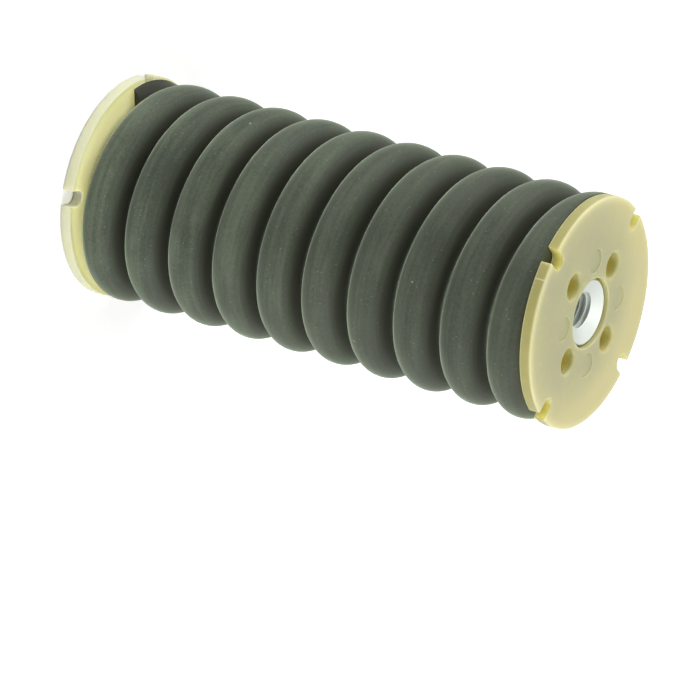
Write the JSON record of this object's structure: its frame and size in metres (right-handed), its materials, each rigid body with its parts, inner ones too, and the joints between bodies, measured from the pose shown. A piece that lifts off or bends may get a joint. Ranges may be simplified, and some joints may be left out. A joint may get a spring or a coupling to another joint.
{
  "type": "anti-vibration mount",
  "caption": "Cylindrical anti-vibration mount: a thick coiled body between flanged end caps, each with a threaded metal bush for a fixing screw.",
  "frame": {"origin": "centre of the lower cap's outer face, on the surface that the part stands on", "axes": "+Z along the axis of the coil, from the lower cap to the upper cap; +X and +Y lie in the lower cap's outer face"},
  "size_m": [0.0334, 0.0334, 0.0786],
  "materials": {
    "rubber": "matte, dark grey-green",
    "nylon": "natural, slightly translucent, moulded",
    "zinc": "bright zinc plate"
  },
  "bodies": {
    "root": {"coil": "rubber", "lower_cap": "nylon", "upper_cap": "nylon", "lower_bush": "zinc", "upper_bush": "zinc"}
  },
  "joints": []
}
